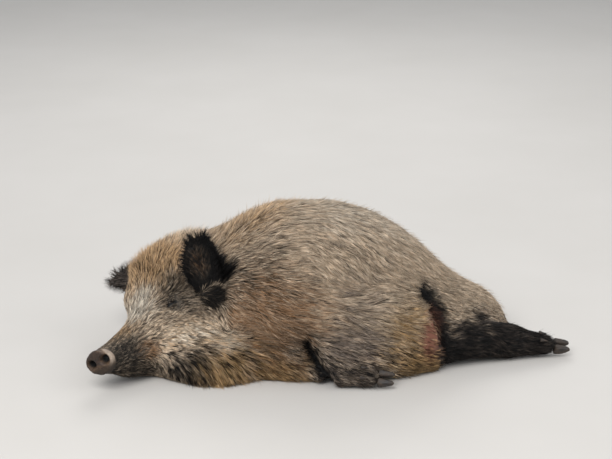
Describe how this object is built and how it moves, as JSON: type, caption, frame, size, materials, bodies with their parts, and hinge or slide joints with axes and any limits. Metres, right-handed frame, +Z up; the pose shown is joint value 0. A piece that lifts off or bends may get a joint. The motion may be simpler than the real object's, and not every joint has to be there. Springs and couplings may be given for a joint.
{
  "type": "sleeping wild boar sow",
  "caption": "Life-size still model of a wild boar sow asleep on her belly, head turned to her left with the chin down, forelegs folded, one hind leg stretched out behind.",
  "frame": {"origin": "middle of the bounding box, on the floor under the belly", "axes": "+X from the nose towards the rump and the stretched hind foot; -Y her left side; +Z up"},
  "size_m": [1.2542, 0.5852, 0.4055],
  "materials": {
    "coat": "coarse grey-brown bristle over dark skin",
    "dark_coat": "short black bristle over black skin",
    "nose": "bare damp skin, brown-grey",
    "eye": "wet dark brown, almost shut behind the lids",
    "hoof": "dark horn"
  },
  "bodies": {
    "root": {"head": "coat", "lower_jaw": "coat", "neck": "coat", "trunk": "coat", "foreleg_left_upper": "coat", "foreleg_right_upper": "coat", "hind_leg_left_upper": "coat", "hind_leg_right_upper": "coat", "foreleg_left": "dark_coat", "foreleg_right": "dark_coat", "hind_leg_left": "dark_coat", "hind_leg_right": "dark_coat", "tail": "dark_coat", "ear_left": "dark_coat", "ear_right": "dark_coat", "nose": "nose", "eye_left": "eye", "eye_right": "eye", "foreleg_left_hoof_outer": "hoof", "foreleg_left_hoof_inner": "hoof", "foreleg_left_dewclaw_outer": "hoof", "foreleg_left_dewclaw_inner": "hoof", "foreleg_right_hoof_outer": "hoof", "foreleg_right_hoof_inner": "hoof", "foreleg_right_dewclaw_outer": "hoof", "foreleg_right_dewclaw_inner": "hoof", "hind_leg_left_hoof_outer": "hoof", "hind_leg_left_hoof_inner": "hoof", "hind_leg_left_dewclaw_outer": "hoof", "hind_leg_left_dewclaw_inner": "hoof", "hind_leg_right_hoof_outer": "hoof", "hind_leg_right_hoof_inner": "hoof", "hind_leg_right_dewclaw_outer": "hoof", "hind_leg_right_dewclaw_inner": "hoof"}
  },
  "joints": []
}
